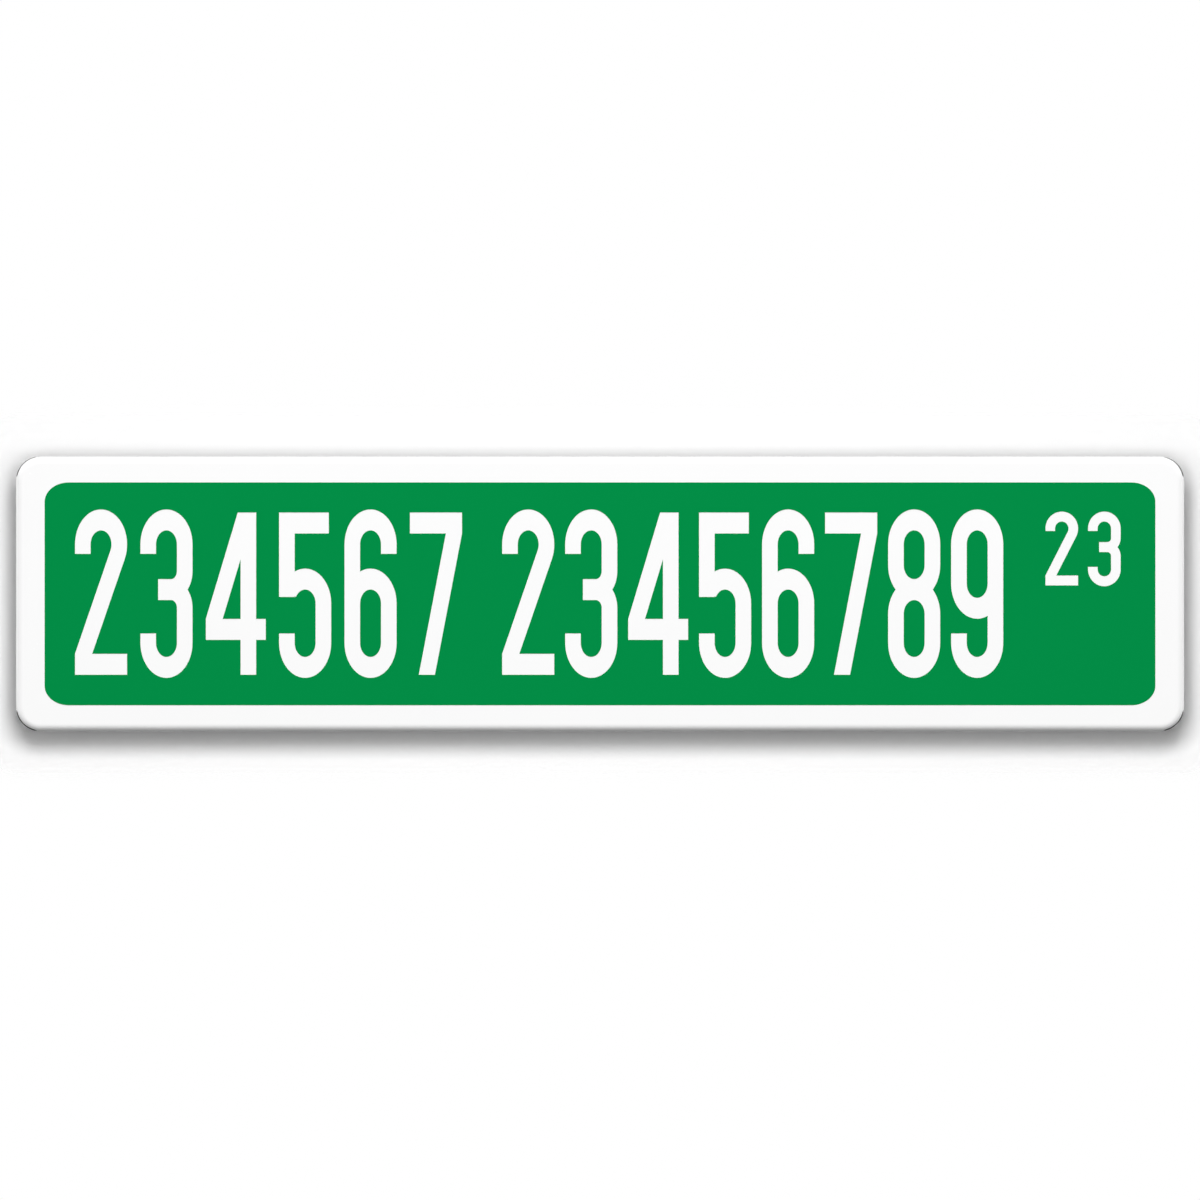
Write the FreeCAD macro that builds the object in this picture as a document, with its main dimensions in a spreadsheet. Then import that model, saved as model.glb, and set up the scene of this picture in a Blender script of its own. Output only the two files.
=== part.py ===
import FreeCAD, Part
import Sketcher
import os
from math import radians

# Street name sign: a sheet pressed into a shallow tray, with its edge turned back all round,
# and the green colour field that lies on its face inside a white border.
# Millimetres. The face looks along -Y and +Z is up.
# The origin is the centre of the panel's flat back, where the sign is fastened.
DRIVING_DIMENSIONS = {
    "sign_width": 431.8,  # 17 inches
    "sign_height": 101.6,  # 4 inches
    "corner_radius": 9.0,  # the plate's four corners, seen from the front
    "sheet_thickness": 0.8,
    "rim_depth": 4.0,  # from the face to the end of the turned edge
    "bend_radius": 2.7,  # outside radius where the face turns into the edge
    "edge_break": 0.15,  # bevel on both sides of the cut edge
    "side_border": 10.75,  # white left and right of the field
    "level_border": 9.65,  # white above and below the field
    "field_corner_radius": 8.0,
    "field_thickness": 0.1,
}
PARTS_FOLDER = "parts"
SAME_PLANE = 1e-6  # two places nearer than this lie in one plane


def make_sheet(doc):
    """Puts each driving dimension in a cell of its own, with its name as the alias."""
    sheet = doc.addObject("Spreadsheet::Sheet", "dimensions")
    for row, (name, value) in enumerate(DRIVING_DIMENSIONS.items(), start=1):
        sheet.set(f"A{row}", name)
        sheet.set(f"B{row}", str(value))
        sheet.setAlias(f"B{row}", name)
    doc.recompute()
    return sheet


def drive(sketch, constraint, name, expression):
    """Adds a named dimension to the sketch and ties it to the sheet."""
    index = sketch.addConstraint(constraint)
    sketch.renameConstraint(index, name)
    sketch.setExpression(f"Constraints.{name}", expression)


def rounded_rectangle(body, name, width, height, radius):
    """A sketch on the body's own upright plane: four sides joined by tangent corner arcs.

    The three sizes are expressions, and the outline is centred on the body's origin.
    """
    sketch = body.newObject("Sketcher::SketchObject", name)
    upright = next(plane for plane in body.Origin.OriginFeatures if plane.Role == "XZ_Plane")
    sketch.AttachmentSupport = [(upright, "")]
    sketch.MapMode = "FlatFace"
    full_width, full_height, corner = (float(sketch.evalExpression(size)) for size in (width, height, radius))

    reach_x = full_width / 2 - corner
    reach_y = full_height / 2 - corner
    lower_right = (reach_x, -reach_y, 270)
    upper_right = (reach_x, reach_y, 0)
    upper_left = (-reach_x, reach_y, 90)
    lower_left = (-reach_x, -reach_y, 180)
    arcs = []
    for x, y, start in (lower_right, upper_right, upper_left, lower_left):
        circle = Part.Circle(FreeCAD.Vector(x, y, 0), FreeCAD.Vector(0, 0, 1), corner)
        arc = Part.ArcOfCircle(circle, radians(start), radians(start + 90))
        arcs.append(sketch.addGeometry(arc, False))
    sides = []
    for arc, following in zip(arcs, arcs[1:] + arcs[:1]):
        side = Part.LineSegment(sketch.Geometry[arc].EndPoint, sketch.Geometry[following].StartPoint)
        sides.append(sketch.addGeometry(side, False))
        sketch.addConstraint(Sketcher.Constraint("Tangent", arc, 2, sides[-1], 1))
        sketch.addConstraint(Sketcher.Constraint("Tangent", sides[-1], 2, following, 1))

    right, top, left, bottom = sides
    for side in (left, right):
        sketch.addConstraint(Sketcher.Constraint("Vertical", side))
    for side in (top, bottom):
        sketch.addConstraint(Sketcher.Constraint("Horizontal", side))
    for arc in arcs[1:]:
        sketch.addConstraint(Sketcher.Constraint("Equal", arcs[0], arc))
    sketch.addConstraint(Sketcher.Constraint("Symmetric", arcs[0], 3, arcs[2], 3, -1, 1))
    drive(sketch, Sketcher.Constraint("DistanceX", left, 1, right, 1, full_width), "width", width)
    drive(sketch, Sketcher.Constraint("DistanceY", bottom, 1, top, 1, full_height), "height", height)
    drive(sketch, Sketcher.Constraint("Radius", arcs[0], corner), "corner", radius)
    return sketch


def pad(body, name, sketch, length, backwards):
    """Pads the sketch from its plane, towards the front or, if backwards, towards the back."""
    feature = body.newObject("PartDesign::Pad", name)
    feature.Profile = sketch
    feature.Reversed = backwards
    feature.setExpression("Length", length)
    body.Document.recompute()
    return feature


def names_in_plane(kind, items, y):
    """Names of the faces or edges that lie wholly in the upright plane at this y."""
    boxes = [(number, item.BoundBox) for number, item in enumerate(items, start=1)]
    flat = [number for number, box in boxes if max(abs(box.YMin - y), abs(box.YMax - y)) < SAME_PLANE]
    return [f"{kind}{number}" for number in flat]


def make_sign_plate(doc, sheet):
    """The pressed sheet, modelled from its face backwards.

    A block of the outside form has its front edge rolled round, also through the four corners,
    and is then hollowed from behind to one sheet thickness all over.
    """
    body = doc.addObject("PartDesign::Body", "sign_plate")
    outline = rounded_rectangle(
        body, "plate_outline", "dimensions.sign_width", "dimensions.sign_height", "dimensions.corner_radius"
    )
    block = pad(body, "outside_form", outline, "dimensions.rim_depth", backwards=True)

    rolled = body.newObject("PartDesign::Fillet", "rolled_edge")
    rolled.Base = (block, names_in_plane("Edge", block.Shape.Edges, 0))
    rolled.setExpression("Radius", "dimensions.bend_radius")
    doc.recompute()

    tray = body.newObject("PartDesign::Thickness", "pressed_sheet")
    tray.Base = (rolled, names_in_plane("Face", rolled.Shape.Faces, sheet.rim_depth))
    tray.Reversed = True  # the wall grows inwards, so the outside keeps its size
    tray.setExpression("Value", "dimensions.sheet_thickness")
    doc.recompute()

    deburred = body.newObject("PartDesign::Chamfer", "deburred_rim")
    deburred.Base = (tray, names_in_plane("Edge", tray.Shape.Edges, sheet.rim_depth))
    deburred.setExpression("Size", "dimensions.edge_break")
    doc.recompute()
    return body


def make_green_field(doc):
    """The green field: a thin rounded panel that lies on the face."""
    body = doc.addObject("PartDesign::Body", "green_field")
    outline = rounded_rectangle(
        body,
        "field_outline",
        "dimensions.sign_width - 2 * dimensions.side_border",
        "dimensions.sign_height - 2 * dimensions.level_border",
        "dimensions.field_corner_radius",
    )
    pad(body, "field_film", outline, "dimensions.field_thickness", backwards=False)
    return body


def place_on_face(body):
    """Moves a body whose own plane is the face so that the panel's back comes to the origin."""
    body.setExpression("Placement.Base.y", "-dimensions.sheet_thickness")


def write_parts(doc, bodies):
    """Checks every object and shape, then writes one STEP file for each body."""
    for item in doc.Objects:
        failed = {"Invalid", "Error"}.intersection(item.State)
        if failed:
            raise RuntimeError(f"{item.Name} has the state {failed}")
    for body in bodies:
        if body.Shape.isNull() or not body.Shape.isValid():
            raise RuntimeError(f"{body.Label} has no valid shape")
    os.makedirs(PARTS_FOLDER, exist_ok=True)
    for body in bodies:
        body.Shape.exportStep(f"{PARTS_FOLDER}/{body.Label}.step")
        print(f"{body.Label}: {len(body.Shape.Solids)} solid, {body.Shape.Volume:.1f} mm3")


doc = FreeCAD.newDocument("street_name_sign")
sheet = make_sheet(doc)
bodies = [make_sign_plate(doc, sheet), make_green_field(doc)]
for body in bodies:
    place_on_face(body)
doc.recompute()
write_parts(doc, bodies)
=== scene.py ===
import bpy
import numpy as np
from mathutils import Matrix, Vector
from mathutils.geometry import delaunay_2d_cdt


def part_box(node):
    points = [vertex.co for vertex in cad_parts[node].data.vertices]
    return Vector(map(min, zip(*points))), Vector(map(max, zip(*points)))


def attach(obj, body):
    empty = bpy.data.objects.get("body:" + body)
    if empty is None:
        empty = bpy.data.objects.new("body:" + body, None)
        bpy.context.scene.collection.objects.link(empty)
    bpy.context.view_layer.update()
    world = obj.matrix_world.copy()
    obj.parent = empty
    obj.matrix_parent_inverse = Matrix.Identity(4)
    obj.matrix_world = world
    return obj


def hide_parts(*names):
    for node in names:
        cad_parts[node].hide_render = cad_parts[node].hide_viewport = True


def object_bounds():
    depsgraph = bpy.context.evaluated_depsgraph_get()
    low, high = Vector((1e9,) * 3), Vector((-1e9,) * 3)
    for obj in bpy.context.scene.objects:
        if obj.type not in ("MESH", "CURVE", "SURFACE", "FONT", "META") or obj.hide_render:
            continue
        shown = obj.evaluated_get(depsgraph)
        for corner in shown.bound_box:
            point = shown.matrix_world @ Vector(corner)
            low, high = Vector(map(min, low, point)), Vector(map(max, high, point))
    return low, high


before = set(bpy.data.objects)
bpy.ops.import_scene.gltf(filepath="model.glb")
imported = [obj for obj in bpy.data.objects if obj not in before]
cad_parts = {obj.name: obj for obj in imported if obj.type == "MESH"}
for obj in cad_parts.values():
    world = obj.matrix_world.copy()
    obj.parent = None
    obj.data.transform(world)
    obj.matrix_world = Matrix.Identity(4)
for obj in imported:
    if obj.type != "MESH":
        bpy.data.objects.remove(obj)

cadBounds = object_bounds()
mm = 0.001
print("frame loaded:", sorted(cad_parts))


# Shader maths: a wrapped socket, on which each of Python's operators adds one Math node
class ShaderValue:
    def __init__(self, finish, socket):
        self.finish = finish
        self.socket = socket

    def __add__(self, other):
        return self.finish.maths("ADD", self, other)

    def __sub__(self, other):
        return self.finish.maths("SUBTRACT", self, other)

    def __rsub__(self, other):
        return self.finish.maths("SUBTRACT", other, self)

    def __mul__(self, other):
        return self.finish.maths("MULTIPLY", self, other)

    __radd__ = __add__
    __rmul__ = __mul__


# A node tree with one method that adds any node: its type, its settings, then its inputs
class Finish:
    def __init__(self, owner):
        owner.use_nodes = True
        self.owner = owner
        self.tree = owner.node_tree
        self.tree.nodes.clear()

    def socket(self, sockets, key):  # by its number, its identifier or its name
        if isinstance(key, int):
            return sockets[key]
        return next(s for s in sockets if key in (s.identifier, s.name))

    def add(self, kind, settings=(), inputs=(), output=0):
        node = self.tree.nodes.new(kind)
        for name, value in dict(settings).items():
            setattr(node, name, value)
        for key, value in dict(inputs).items():
            socket = self.socket(node.inputs, key)
            if isinstance(value, ShaderValue):
                self.tree.links.new(value.socket, socket)
            else:
                socket.default_value = value
        return ShaderValue(self, self.socket(node.outputs, output)) if len(node.outputs) else None

    def maths(self, operation, first, second):
        return self.add("ShaderNodeMath", {"operation": operation}, {0: first, 1: second})

    def vector(self, operation, first, second=(0, 0, 0), output="Vector"):
        return self.add("ShaderNodeVectorMath", {"operation": operation}, {0: first, 1: second}, output)

    def blend(self, share, first, second):  # colour: first where share is 0, second where it is 1
        inputs = {"Factor_Float": share, "A_Color": first, "B_Color": second}
        return self.add("ShaderNodeMix", {"data_type": "RGBA"}, inputs, "Result_Color")

    def between(self, share, low, high):  # number: low where share is 0, high where it is 1
        return low + share * (high - low)

    def step(self, value, start, end):  # 0 below start, 1 above end, smooth between
        inputs = {"Value": value, "From Min": start, "From Max": end}
        return self.add("ShaderNodeMapRange", {"interpolation_type": "SMOOTHSTEP"}, inputs)

    def place(self, stretch=(1, 1, 1)):  # the piece's own coordinates, in metres, stretched
        return self.vector("MULTIPLY", self.add("ShaderNodeTexCoord", output="Object"), stretch)

    def noise(self, place, scale, detail, roughness):
        inputs = {"Vector": place, "Scale": scale, "Detail": detail, "Roughness": roughness}
        return self.add("ShaderNodeTexNoise", {"noise_dimensions": "3D"}, inputs, "Fac")

    def streaks(self, stretch, detail, roughness):
        return self.noise(self.place(stretch), 1, detail, roughness)

    def painted(self, name):  # a value that the mesh carries at each point
        return self.add("ShaderNodeAttribute", {"attribute_name": name}, output="Fac")

    def bump(self, height, distance):
        return self.add("ShaderNodeBump", {}, {"Height": height, "Distance": distance})

    def seen(self):  # 1 on the rays that show the background plainly: straight ones and through glass
        straight = self.add("ShaderNodeLightPath", output="Is Camera Ray")
        return straight + self.add("ShaderNodeLightPath", output="Is Transmission Ray")

    def behind(self):  # 1 on the back of a face
        return self.add("ShaderNodeNewGeometry", output="Backfacing")

    def surface(self, inputs):
        shader = self.add("ShaderNodeBsdfPrincipled", {}, inputs)
        self.add("ShaderNodeOutputMaterial", {}, {"Surface": shader})
        return self.owner


# The sign and its surroundings have lamps of their own: each lamp lights one of these collections
litBySign = bpy.data.collections.new("litBySignLamps")
litByWall = bpy.data.collections.new("litByWallLamps")


def newPiece(name, mesh, material, node):
    piece = bpy.data.objects.new(name, mesh)
    bpy.context.scene.collection.objects.link(piece)
    litBySign.objects.link(piece)
    mesh.materials.append(material)
    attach(piece, "root")
    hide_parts(node)


def carry(mesh, name, values):  # one number at each point of the mesh
    layer = mesh.attributes.new(name, "FLOAT", "POINT")
    layer.data.foreach_set("value", np.ascontiguousarray(values, np.float32).ravel())


# The pressed plate

plate = {
    "node": "sign_plate",
    "slot": "white_plate",
    "cornerRadius": 9.0 * mm,
    "sheet": 0.8 * mm,
    "bend": 2.7 * mm,  # outside radius of the rolled edge
    "edgeBreak": 0.15 * mm,
    "guard": 0.4 * mm,  # flat ring beside a bend, which keeps the panel's shading flat
    "cornerSteps": 28,
    "bendSteps": 20,
    "lipSteps": 5,
    "breakSteps": 3,
    "shadeFrom": 48,  # degrees round the bend where the painted shade at the corners starts, beside a straight side
    "shadeOver": 9,  # and over how many more it goes
    "laterBelow": 5,  # it starts this much later at the foot of a lower corner
    "laterAbove": 14,  # and this much later at the top of an upper one
    "soonerRight": 4,  # and this much sooner beside the right-hand side, where the painted shade is heavier
    "shadeDepth": 0.5 * mm,  # how far it runs on down the lip
    "shadeReach": 1.7,  # the more, the nearer to a corner's two ends the painted shade is still whole
    "mottleShare": 0.5,  # how much the mottle noise adds to the painted shade
    "shadeBetween": (0.5, 1.05),  # the sums at which the painted shade begins to cover the white and covers it whole
    "whites": ((0.925, 0.925, 0.925, 1), (0.945, 0.945, 0.945, 1)),  # the coating's two tones
    "mills": ((0.56, 0.57, 0.585, 1), (0.78, 0.79, 0.805, 1)),  # the back's
    "shadeTones": ((0.02, 0.02, 0.02, 1), (0.06, 0.058, 0.057, 1)),  # and the painted shade's, nearly black
    "metallic": 0.96,
    "enamelRough": (0.2, 0.3),  # where the peel is lowest and where it is highest
    "millRough": (0.3, 0.5),  # and the same for the grain
    "shadeRough": 0.5,  # added to the mill finish's under the painted shade
    "drift": (22, 3, 0.6),  # noises: scale to the metre, detail, roughness
    "peel": (700, 3, 0.55),
    "pits": (2600, 2, 0.5),
    "shadeMottle": (1400, 3, 0.7),
    "broad": ((4, 40, 60), 3, 0.6),  # streaks along the rolling: scale on each axis, detail, roughness
    "rolled": ((14, 260, 420), 3, 0.6),
    "grain": ((40, 900, 1300), 4, 0.65),
    "broadShare": 0.4,
    "rolledShare": 0.35,
    "grainShare": 0.25,
    "streakEnds": (0.3, 0.7),  # the sums at which the back has its darker and its lighter tone
    "relief": 0.012 * mm,  # of the grain, and the other two are shares of it
    "peelRelief": 0.6,
    "pitRelief": 0.15,
}


def cornerPath(halfWidth, halfHeight, radiusX, radiusZ, steps):
    # centre and direction of each point on four quarter turns, from the lower right corner
    # point = corner centre + radius * (cosine, sine), and the sides join one turn to the next
    turn = np.radians(np.linspace(-90, 270, 4, endpoint=False)[:, None] + np.linspace(0, 90, steps + 1))
    signX = np.array([1, 1, -1, -1])[:, None]
    signZ = np.array([-1, 1, 1, -1])[:, None]
    centreX = signX * (halfWidth - radiusX) + 0 * turn
    centreZ = signZ * (halfHeight - radiusZ) + 0 * turn
    centres = np.stack([centreX.ravel(), centreZ.ravel()], 1)
    directions = np.stack([np.cos(turn).ravel(), np.sin(turn).ravel()], 1)
    return centres, directions, np.tile(np.linspace(0, 1, steps + 1), 4)


def plateSection(front, rim):
    # inset from the outline and depth of each point, from the face round the rim to the back
    # an arc point = centre - radius * (sine, cosine) of the turn away from the face
    turn = np.linspace(0, np.pi / 2, plate["bendSteps"] + 1)
    small = np.linspace(0, np.pi / 2, plate["breakSteps"] + 1)
    bend, sheet, edge = plate["bend"], plate["sheet"], plate["edgeBreak"]
    flat = bend + plate["guard"]

    def rolled(radius, angles):
        return np.stack([bend - radius * np.sin(angles), front + bend - radius * np.cos(angles)], 1)

    outerBreak = np.stack([edge - edge * np.cos(small), rim - edge + edge * np.sin(small)], 1)
    innerBreak = np.stack([sheet - edge + edge * np.sin(small), rim - edge + edge * np.cos(small)], 1)
    down = np.linspace(0, 1, plate["lipSteps"] + 1)[1:-1, None]
    lip = (1 - down) * [0, front + bend] + down * [0, rim - edge]
    outside = np.concatenate([[[flat, front]], rolled(bend, turn), lip, outerBreak])
    inside = np.concatenate([innerBreak, rolled(bend - sheet, turn[::-1]), [[flat, front + sheet]]])
    return outside, inside


def plateMesh():
    # the section carried round the outline, then the flat panel's face and back as one face each
    # point = corner centre + direction * (corner radius - inset), at the section's depth
    low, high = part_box(plate["node"])
    halfWidth, halfHeight = (high.x - low.x) / 2, (high.z - low.z) / 2
    front, rim = -plate["sheet"], high.y  # the panel's back lies at 0
    radius = plate["cornerRadius"]
    centres, directions, along = cornerPath(halfWidth, halfHeight, radius, radius, plate["cornerSteps"])
    outside, inside = plateSection(front, rim)
    inset, depth = np.concatenate([outside, inside]).T
    flat = centres[:, None] + directions[:, None] * (radius - inset)[:, None]
    points = np.stack([flat[..., 0], np.broadcast_to(depth, flat.shape[:2]), flat[..., 1]], 2)

    count, rows = flat.shape[:2]
    number = np.arange(count * rows).reshape(count, rows)
    following = np.roll(number, -1, 0)
    quads = np.stack([number[:, :-1], number[:, 1:], following[:, 1:], following[:, :-1]], 2)
    faces = quads.reshape(-1, 4).tolist() + [number[:, 0].tolist(), number[::-1, -1].tolist()]
    mesh = bpy.data.meshes.new("pressedPlate")
    mesh.from_pydata(points.reshape(-1, 3), [], faces)
    mesh.polygons.foreach_set("use_smooth", np.ones(len(faces), bool))

    coating = np.zeros(rows)
    coating[: len(outside) - 1] = 1  # it ends in the break of the outer edge
    carry(mesh, "coating", np.broadcast_to(coating, (count, rows)))
    # each corner's outer bend carries a painted shade, a near-black line that stands in for the shade
    # there
    carry(mesh, "paintedCornerShade", paintedCornerShade(along, directions, inset, depth, front))
    print("plate:", count, "points round the outline,", rows, "across the section")
    return mesh


def paintedCornerShade(along, directions, inset, depth, front):
    # 1 where the corners get painted shade: late in the bend and early on the lip, in the corners
    # the angle round the bend is the arc tangent of the way outwards over the way forwards
    # round a corner it rises from 0 and falls to 0 again, and gets narrower away from the sides
    bend = plate["bend"]
    angle = np.degrees(np.arctan2(bend - inset, np.maximum(front + bend - depth, 0)))
    right, height = directions.T
    later = np.abs(height) * np.where(height > 0, plate["laterAbove"], plate["laterBelow"])
    later -= np.clip(right, 0, 1) * plate["soonerRight"]
    rise = np.clip((angle - plate["shadeFrom"] - later[:, None]) / plate["shadeOver"], 0, 1)
    fall = np.clip(1 - (depth - front - bend) / plate["shadeDepth"], 0, 1)
    outer = inset < plate["sheet"] / 2
    corner = np.clip(np.sin(np.pi * along) * plate["shadeReach"], 0, 1)
    return corner[:, None] * rise * fall * outer


def plateFinish():
    # white coating outside, streaked mill finish inside, and a painted shade, nearly black, along the
    # outer bend of each corner
    f = Finish(bpy.data.materials.new("whiteEnamelAndMill"))
    place = f.place()
    drift = f.noise(place, *plate["drift"])
    peel = f.noise(place, *plate["peel"])
    pits = f.noise(place, *plate["pits"])
    shadeMottle = f.noise(place, *plate["shadeMottle"])
    broad = f.streaks(*plate["broad"])
    rolled = f.streaks(*plate["rolled"])
    grain = f.streaks(*plate["grain"])

    outside = f.painted("coating")
    # painted shade: a near-black line round each corner's outer bend, heavier on the lower corners than
    # on the upper ones
    paintedShade = f.step(f.painted("paintedCornerShade") + shadeMottle * plate["mottleShare"], *plate["shadeBetween"])
    coated = outside * (1 - paintedShade)
    streaked = broad * plate["broadShare"] + rolled * plate["rolledShare"] + grain * plate["grainShare"]
    mill = f.blend(f.step(streaked, *plate["streakEnds"]), *plate["mills"])
    # the back's mill finish, and the near-black tones of the painted shade at the corners
    millAndShade = f.blend(paintedShade, mill, f.blend(shadeMottle, *plate["shadeTones"]))
    enamelRough = f.between(peel, *plate["enamelRough"])
    millRough = f.between(grain, *plate["millRough"])
    enamelHeight = peel * plate["peelRelief"] + pits * plate["pitRelief"]
    return f.surface({
        "Base Color": f.blend(coated, millAndShade, f.blend(drift, *plate["whites"])),
        "Metallic": (1 - outside) * plate["metallic"],
        "Roughness": coated * enamelRough + (1 - coated) * millRough + paintedShade * plate["shadeRough"],
        "Normal": f.bump(coated * enamelHeight + (1 - coated) * grain, plate["relief"]),
    })


newPiece("pressedPlate", plateMesh(), plateFinish(), plate["node"])

# The legend: plain digits drawn as strokes, which are cut out of the green film

legend = {
    # in millimetres from the sign's middle: overshoot is how far a round top or foot passes the line
    # of the flat ones, and squeeze is the factor that the finished digit's width is multiplied by
    "sizes": {
        "large": {"foot": -29.9, "height": 59.95, "width": 25.9, "stroke": 7.76,
                  "overshoot": 1.15, "squeeze": 0.743},
        "small": {"foot": 3.1, "height": 27.0, "width": 12.55, "stroke": 3.7,
                  "overshoot": 0.3, "squeeze": 0.96},
    },
    "groups": [
        {"size": "large", "digits": "234567", "left": -193.93, "right": -50.97},
        {"size": "large", "digits": "23456789", "left": -36.14, "right": 148.95},
        {"size": "small", "digits": "23", "left": 164.55, "right": 192.32},
    ],
    "wide": {"4": 1.15},  # a digit wider than the others, by this factor
    "terminal": 0.255,  # where an open end stops, as a share of the height from top or foot
    "ring": 0.59,  # top of a 6's ring and of a 5's bowl, up the height
    "waist": 0.525,  # of a 3 and an 8, up the height
    "nook": 0.75,  # radius of a 3's turns into its waist, in bowls
    "tongue": 0.34,  # where a 3's middle stroke ends, across the width
    "stem": 0.84,  # right side of a 4's stem, across the width
    "bar": 0.215,  # foot of a 4's bar, up the height
    "peak": 0.2,  # how far a 4's slant stops short of its stem's right side, in half strokes
    "shoulder": 152,  # degrees round the bowl from its right, where a 5's bowl begins
    "flag": 0.3,  # how far a 5's top bar stops short of the width, in half strokes
    "heel": 0.17,  # left side of a 7's foot, across the width
    "arcSteps": 28,  # for a half turn
}


def arcPoints(x, z, radius, start, end):
    # point = centre + radius * (cosine, sine), heading = a right angle on from it, the way it turns
    steps = max(2, round(abs(end - start) / 180 * legend["arcSteps"]))
    angle = np.radians(np.linspace(start, end, steps + 1))
    points = np.stack([x + radius * np.cos(angle), z + radius * np.sin(angle)], 1)
    heading = np.sign(end - start) * np.stack([-np.sin(angle), np.cos(angle)], 1)
    return points, heading


def ribbon(route, stroke, cut=None):
    # quads of a stroke of even width along points (x, z) and arcs (x, z, radius, start, end)
    # each side = the line's point + or - half the width across its heading
    points, heading = [], []
    for item in route:
        found = arcPoints(*item) if len(item) == 5 else (np.array([item], float), np.zeros((1, 2)))
        points.append(found[0])
        heading.append(found[1])
    points, heading = np.concatenate(points), np.concatenate(heading)
    for end, inner in ((0, 1), (-1, -2)):  # an end that is a point heads along the line beside it
        if not heading[end].any():
            way = (points[inner] - points[end]) * (1 if end == 0 else -1)
            heading[end] = way / np.linalg.norm(way)
    across = np.stack([-heading[:, 1], heading[:, 0]], 1) * stroke / 2
    sides = np.stack([points + across, points - across], 1)
    if cut is not None:  # the last end is cut level at this height
        sides[-1] += heading[-1] * ((cut - sides[-1, :, 1]) / heading[-1, 1])[:, None]
    return np.concatenate([sides[:-1], sides[1:, ::-1]], 1)


def block(left, foot, right, top):
    return np.array([[(left, foot), (right, foot), (right, top), (left, top)]], float)


def slant(left, foot, right, top, stroke):
    # a straight stroke from the box's lower left to its upper right corner, cut level at both ends
    # its tilt a solves: rise * sin a + stroke = span * cos a
    rise, span = top - foot, right - left
    tilt = np.arccos(stroke / np.hypot(rise, span)) - np.arctan2(rise, span)
    level = stroke / np.cos(tilt)
    return np.array([[(left, foot), (left + level, foot), (right, top), (right - level, top)]], float)


def digitWidth(digit, size):
    return size["width"] * legend["wide"].get(digit, 1)


def digitQuads(digit, size):
    height, stroke, over = size["height"], size["stroke"], size["overshoot"]
    width = digitWidth(digit, size)
    half = stroke / 2
    left, right, middle = half, width - half, width / 2
    bowl = right - middle
    high = height + over - half - bowl  # centre of the arc along the top
    low = half - over + bowl  # centre of the arc along the foot
    openHigh, openLow = height * (1 - legend["terminal"]), height * legend["terminal"]
    ring = height * legend["ring"] - bowl  # centre of the arc on top of a 6's ring
    waist = height * legend["waist"]

    if digit == "2":
        inner = bowl - half
        rise = high - stroke
        tilt = np.arctan2(middle, rise) + np.arcsin(inner / np.hypot(middle, rise))
        hook = [(left, openHigh), (middle, high, bowl, 180, -np.degrees(tilt)),
                (half / np.cos(tilt), stroke)]
        return [ribbon(hook, stroke, cut=stroke), block(0, 0, width, stroke)]
    if digit == "3":
        nook = bowl * legend["nook"]
        tongue = width * legend["tongue"]
        upper = [(left, openHigh), (middle, high, bowl, 180, 0),
                 (right - nook, waist + nook, nook, 0, -90), (tongue, waist)]
        lower = [(tongue, waist), (right - nook, waist - nook, nook, 90, 0),
                 (middle, low, bowl, 0, -180), (left, openLow)]
        return [ribbon(upper, stroke), ribbon(lower, stroke)]
    if digit == "4":
        stem = width * legend["stem"]
        bar = height * legend["bar"]
        diagonal = slant(0, bar + stroke, stem - half * legend["peak"], height, stroke)
        return [diagonal, block(0, bar, width, bar + stroke), block(stem - stroke, 0, stem, height)]
    if digit == "5":
        start = legend["shoulder"]
        foot = ring + (bowl - half) * np.sin(np.radians(start))
        bowls = [(middle, ring, bowl, start, 0), (middle, low, bowl, 0, -180), (left, openLow)]
        return [ribbon(bowls, stroke), block(0, foot, stroke, height),
                block(0, height - stroke, width - half * legend["flag"], height)]
    if digit == "6":
        route = [(right, openHigh), (middle, high, bowl, 0, 180), (middle, low, bowl, 180, 360),
                 (middle, ring, bowl, 0, 180)]
        return [ribbon(route, stroke)]
    if digit == "7":
        diagonal = slant(width * legend["heel"], 0, width, height - stroke, stroke)
        return [diagonal, block(0, height - stroke, width, height)]
    if digit == "8":
        upper = [(middle, high, bowl, 0, 180), (middle, waist + bowl, bowl, 180, 360), (right, high)]
        lower = [(middle, waist - bowl, bowl, 0, 180), (middle, low, bowl, 180, 360),
                 (right, waist - bowl)]
        return [ribbon(upper, stroke), ribbon(lower, stroke)]
    if digit == "9":  # a 6 turned half round
        return [np.array([width, height]) - quads for quads in digitQuads("6", size)]


def groupQuads(group):
    # digits side by side, squeezed in width, with equal gaps that fill the line from left to right
    digits, size = group["digits"], legend["sizes"][group["size"]]
    widths = [digitWidth(digit, size) * size["squeeze"] for digit in digits]
    gap = (group["right"] - group["left"] - sum(widths)) / (len(widths) - 1)
    starts = group["left"] + np.concatenate([[0], np.cumsum(np.array(widths[:-1]) + gap)])
    placed = []
    for digit, start in zip(digits, starts):
        quads = np.concatenate(digitQuads(digit, size))
        placed.append(quads * [size["squeeze"], 1] + [start, size["foot"]])
    return np.concatenate(placed)


# The green film

film = {
    "node": "green_field",
    "slot": "green_print",
    "cornerX": 8.87,  # in millimetres, as the legend is: the corners are a little wider than high
    "cornerZ": 7.2,
    "cornerSteps": 20,
    "weld": 1e-4,  # points of the cut lines nearer than this are one point
    "greens": ((0.0003, 0.25, 0.0572, 1), (0.0003, 0.26, 0.0596, 1)),
    "rough": (0.15, 0.23),  # where the peel is lowest and where it is highest
    "drift": (35, 4, 0.6),  # noises: scale to the metre, detail, roughness
    "fleck": (1500, 2, 0.5),
    "peel": (800, 3, 0.55),
    "driftShare": 0.7,
    "fleckShare": 0.3,
    "relief": 0.008 * mm,
}


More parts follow.
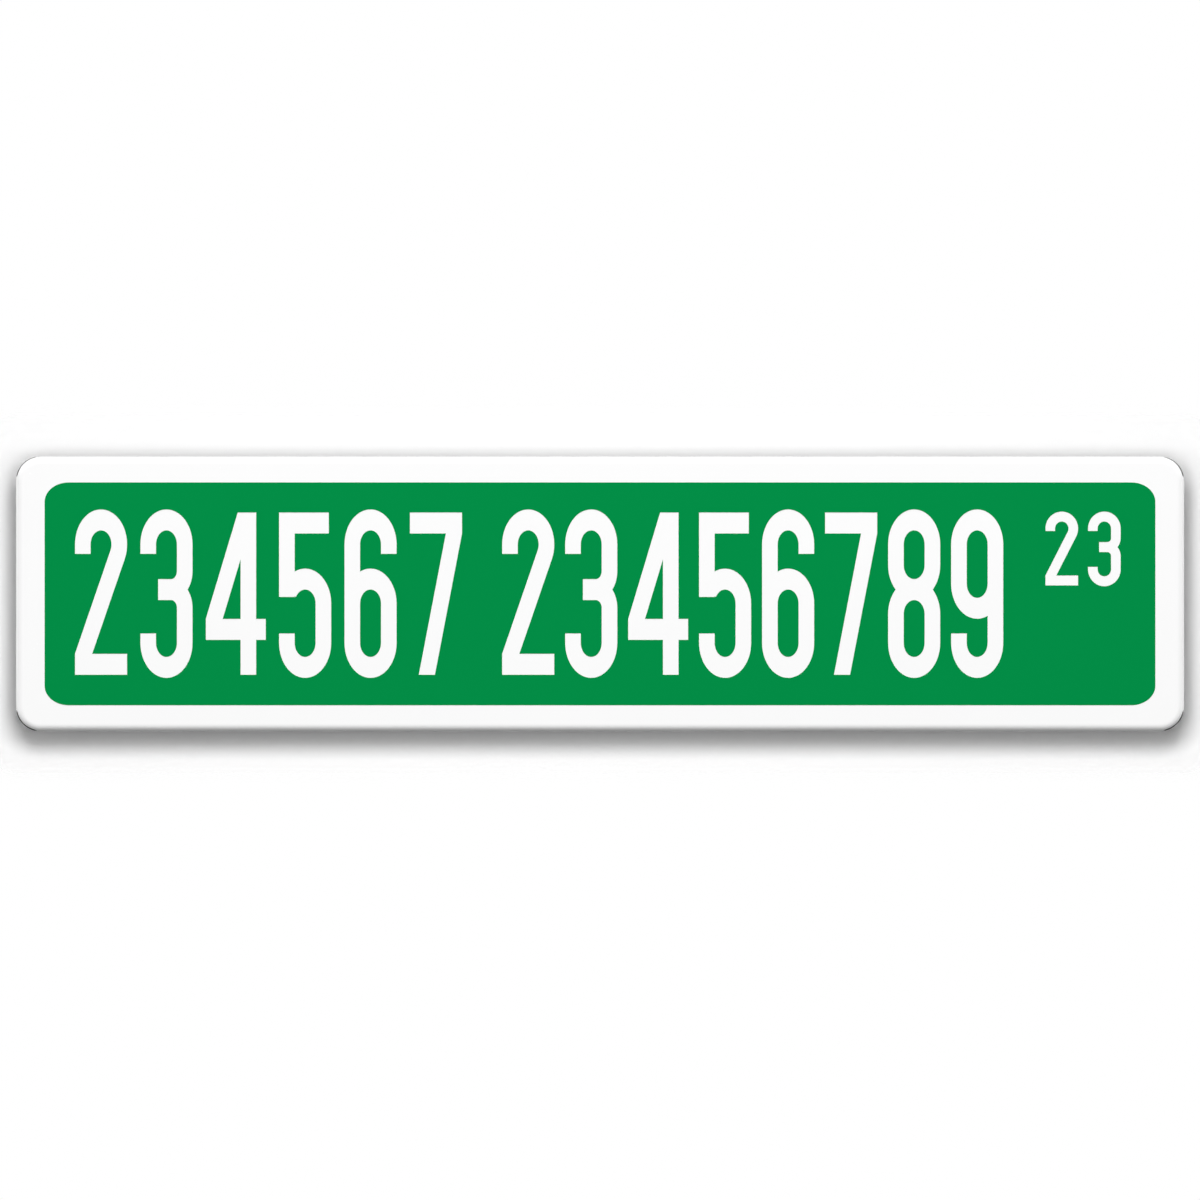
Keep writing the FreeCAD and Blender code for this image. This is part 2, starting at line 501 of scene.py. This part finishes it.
def filmMesh():
    # triangles between the field's outline and the strokes, then a wall down from each open edge
    low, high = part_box(film["node"])
    halfWidth, halfHeight = (high.x - low.x) / 2 / mm, (high.z - low.z) / 2 / mm
    cornerX, cornerZ = film["cornerX"], film["cornerZ"]
    centres, directions, _ = cornerPath(halfWidth, halfHeight, cornerX, cornerZ, film["cornerSteps"])
    outline = centres + directions * [cornerX, cornerZ]
    strokes = np.concatenate([groupQuads(group) for group in legend["groups"]])
    flat = np.concatenate([outline, strokes.reshape(-1, 2)])
    corners = len(outline) + np.arange(len(strokes) * 4).reshape(-1, 4)
    shapes = [list(range(len(outline)))] + corners.tolist()
    insideOnly = 1  # Blender's number for triangles that some shape covers, and no others
    places = [Vector(place) for place in flat.tolist()]
    cut = delaunay_2d_cdt(places, [], shapes, insideOnly, film["weld"], True)
    spots, triangles, covers = np.array([tuple(spot) for spot in cut[0]]), cut[2], cut[5]
    # the film is each triangle that the outline, shape 0, covers and no stroke does
    kept = np.array([face for face, cover in zip(triangles, covers) if list(cover) == [0]])
    used, kept = np.unique(kept, return_inverse=True)
    spots, kept = spots[used] * mm, kept.reshape(-1, 3)
    a, b, c = (spots[kept[:, k]] for k in range(3))
    area = (b - a)[:, 0] * (c - a)[:, 1] - (b - a)[:, 1] * (c - a)[:, 0]
    kept = np.where(area[:, None] > 0, kept, kept[:, ::-1])  # counter-clockwise, seen from the front

    edges = np.concatenate([kept[:, [0, 1]], kept[:, [1, 2]], kept[:, [2, 0]]])
    key = np.sort(edges, 1) @ [len(spots), 1]
    _, index, times = np.unique(key, return_index=True, return_counts=True)
    rim = edges[index[times == 1]]  # an open edge belongs to one triangle only
    count = len(spots)
    front = np.stack([spots[:, 0], np.full(count, low.y), spots[:, 1]], 1)
    back = np.stack([spots[:, 0], np.full(count, high.y), spots[:, 1]], 1)
    walls = np.stack([rim[:, 1], rim[:, 0], rim[:, 0] + count, rim[:, 1] + count], 1)
    faces = kept.tolist() + (kept[:, ::-1] + count).tolist() + walls.tolist()
    mesh = bpy.data.meshes.new("greenFilm")
    mesh.from_pydata(np.concatenate([front, back]), [], faces)
    print("film:", len(kept), "triangles on the face,", len(rim), "edge pieces")
    return mesh


def filmFinish():
    f = Finish(bpy.data.materials.new("greenFilm"))
    place = f.place()
    drift = f.noise(place, *film["drift"])
    fleck = f.noise(place, *film["fleck"])
    peel = f.noise(place, *film["peel"])
    shade = drift * film["driftShare"] + fleck * film["fleckShare"]
    return f.surface({
        "Base Color": f.blend(shade, *film["greens"]),
        "Roughness": f.between(peel, *film["rough"]),
        "Normal": f.bump(peel, film["relief"]),
    })


newPiece("greenFilm", filmMesh(), filmFinish(), film["node"])

# Camera, stage and lights

camera = {
    "lens": 300,  # long, because the photo shows the sign flat on
    "sensor": 36,
    "frameWidth": 443.6 * mm,  # what the picture's width shows where the sign is widest
    "drop": -2.29 * mm,  # the sign sits this far above the picture's centre
}
stage = {
    "gap": 17 * mm,  # from the rim to the wall card
    "margin": 20 * mm,  # how far the card reaches past the sign
    "fadeFrom": 7 * mm,  # the card gives way to the white world from here to its edge
    "hidden": 2.5 * mm,  # this far in behind the sign the card has its whole lift
    "lowered": 3.25 * mm,  # and twice this further in below the top edge, where the light reaches more
    "lift": 0.2,  # painted light: a glow seen only straight on, which keeps the shadow mid grey there, as it is beside the sign
    "cardColour": (0.98, 0.98, 0.98, 1),
    "floorColour": (0.8, 0.8, 0.8, 1),
    "floor": -0.55,  # the floor's height and half its width, in metres
    "floorHalf": 3.0,
}
signLights = [  # each lamp's place, its width and height, in metres, and its power in watts
    {"name": "signKey", "at": (0, -2.06, 2.18), "size": (1.4, 1.0), "power": 71},
    {"name": "signLow", "at": (0, -3.0, 0.15), "size": (1.4, 0.8), "power": 43},
    {"name": "signUnder", "at": (0, 1.2, -0.4), "size": (0.8, 0.2), "power": 2},
    {"name": "signLeft", "at": (-0.8, 0.25, 0.15), "size": (0.3, 0.3), "power": 2.9},
    {"name": "signRight", "at": (0.8, 0.25, 0.15), "size": (0.3, 0.3), "power": 2.9},
]
wallLights = [  # together they shape the shadow: deep below the sign, thin above and soft beside it
    {"name": "wallKey", "at": (0, -1.643, 0.685), "size": (0.769, 0.366), "power": 15},
    {"name": "wallUpper", "at": (0, -0.943, 0.229), "size": (0.759, 0.079), "power": 1.91},
    {"name": "wallMiddle", "at": (0, -0.722, 0.103), "size": (0.147, 0.079), "power": 0.42},
    {"name": "wallLevel", "at": (0, -0.995, -0.03), "size": (0.157, 0.087), "power": 0.95},
    {"name": "wallNear", "at": (0, -0.445, 0.011), "size": (0.747, 0.078), "power": 0.21},
    {"name": "wallLow", "at": (0, -0.949, -0.124), "size": (0.761, 0.091), "power": 1.33},
]
world = {
    "fill": 0.1,  # its even light on surfaces
    "mirrored": (0.0, 0.9),  # directions along Y between which the mirrored world turns white
    "dimmed": (-0.8, -0.4),  # and along Z, between which it fades towards the floor
}


def addCamera():
    data = bpy.data.cameras.new("camera")
    data.lens = camera["lens"]
    data.sensor_width = camera["sensor"]
    item = bpy.data.objects.new("camera", data)
    away = camera["frameWidth"] * camera["lens"] / camera["sensor"]
    item.location = (0, plate["bend"] - plate["sheet"] - away, camera["drop"])
    item.rotation_euler = (np.pi / 2, 0, 0)
    bpy.context.scene.collection.objects.link(item)
    bpy.context.scene.camera = item


def addSheet(name, corners, material):
    mesh = bpy.data.meshes.new(name)
    mesh.from_pydata(np.array(corners, float), [], [[0, 1, 2, 3]])
    mesh.materials.append(material)
    item = bpy.data.objects.new(name, mesh)
    bpy.context.scene.collection.objects.link(item)
    litByWall.objects.link(item)
    return item


def paper(f, colour, lift, clearing):
    # lit and shadowed like paper, with a lift of its own, and see-through where the clearing is 1
    lit = f.add("ShaderNodeBsdfDiffuse", {}, {"Color": colour})
    glow = f.add("ShaderNodeEmission", {}, {"Strength": lift})
    solid = f.add("ShaderNodeAddShader", {}, {0: lit, 1: glow})
    clear = f.add("ShaderNodeBsdfTransparent")
    shown = f.add("ShaderNodeMixShader", {}, {0: clearing, 1: solid, 2: clear})
    f.add("ShaderNodeOutputMaterial", {}, {"Surface": shown})
    return f.owner


def pastSign(f, inset=0, drop=0):
    # distance past the sign's outline, or past one that is drawn in by the inset all round and by
    # twice the drop more from above
    # distance = length of what each coordinate, from the outline's middle, has beyond its half size
    half = cadBounds[1] - Vector((inset, 0, inset + drop))  # the sign's middle is at 0 along X and Z
    fromMiddle = f.vector("ABSOLUTE", f.vector("ADD", f.place(), (0, 0, drop)))
    beyond = f.vector("MAXIMUM", f.vector("SUBTRACT", fromMiddle, half), (0, 0, 0))
    return f.vector("LENGTH", f.vector("MULTIPLY", beyond, (1, 0, 1)), output="Value")


def cardFinish():
    # clear from behind and towards its edge, with painted light, a glow that lightens the shadow where
    # the sign hides it from the front
    f = Finish(bpy.data.materials.new("wallPaper"))
    fading = f.step(pastSign(f), stage["fadeFrom"], stage["margin"])
    hidden = 1 - f.step(pastSign(f, stage["hidden"], stage["lowered"]), 0, stage["hidden"])
    # painted light on the card: a glow that lightens its shadow behind the sign
    lift = f.seen() * (hidden * stage["lift"])
    return paper(f, stage["cardColour"], lift, f.maths("MAXIMUM", f.behind(), fading))


def floorFinish():  # white wherever it is seen, and clear from below
    f = Finish(bpy.data.materials.new("floorPaper"))
    return paper(f, stage["floorColour"], f.seen(), f.behind())


def addStage():
    y = cadBounds[1].y + stage["gap"]
    halfX, halfZ = cadBounds[1].x + stage["margin"], cadBounds[1].z + stage["margin"]
    corners = [(-halfX, y, -halfZ), (halfX, y, -halfZ), (halfX, y, halfZ), (-halfX, y, halfZ)]
    card = addSheet("wallCard", corners, cardFinish())
    card.visible_diffuse = card.visible_glossy = False
    card.visible_shadow = card.visible_transmission = False
    wide, level = stage["floorHalf"], stage["floor"]
    corners = [(-wide, -wide, level), (wide, -wide, level), (wide, wide, level), (-wide, wide, level)]
    floor = addSheet("floor", corners, floorFinish())
    floor.visible_diffuse = floor.visible_glossy = False


def addLight(settings, lit):  # aimed at the sign's middle, and seen neither straight nor mirrored
    data = bpy.data.lights.new(settings["name"], "AREA")
    data.shape = "RECTANGLE"
    data.size, data.size_y = settings["size"]
    data.energy = settings["power"]
    item = bpy.data.objects.new(settings["name"], data)
    item.location = settings["at"]
    item.rotation_euler = (-Vector(settings["at"])).to_track_quat("-Z", "Y").to_euler()
    item.visible_camera = item.visible_glossy = False
    item.light_linking.receiver_collection = lit
    data.cycles.use_multiple_importance_sampling = False
    bpy.context.scene.collection.objects.link(item)


def addWorld():
    # white to the camera and a plain fill on surfaces; gloss mirrors it white behind, dark in front
    f = Finish(bpy.data.worlds.new("studio"))
    bpy.context.scene.world = f.owner
    f.owner.cycles.sampling_method = "NONE"
    way = f.add("ShaderNodeTexCoord", output="Generated")
    depth = f.add("ShaderNodeSeparateXYZ", {}, {"Vector": way}, "Y")
    height = f.add("ShaderNodeSeparateXYZ", {}, {"Vector": way}, "Z")
    scattered = f.maths("MINIMUM", f.add("ShaderNodeLightPath", output="Diffuse Depth"), 1)
    reflected = f.step(depth, *world["mirrored"]) * f.step(height, *world["dimmed"]) * (1 - scattered)
    seen = f.seen()
    gloss = f.add("ShaderNodeLightPath", output="Is Glossy Ray")
    level = seen + (1 - seen) * (gloss * reflected + (1 - gloss) * world["fill"])
    back = f.add("ShaderNodeBackground", {}, {"Color": (1, 1, 1, 1), "Strength": level})
    f.add("ShaderNodeOutputWorld", {}, {"Surface": back})


addCamera()
addStage()
for settings in signLights:
    addLight(settings, litBySign)
for settings in wallLights:
    addLight(settings, litByWall)
addWorld()
bpy.context.scene.view_settings.view_transform = "Standard"
print("camera, stage and lights")
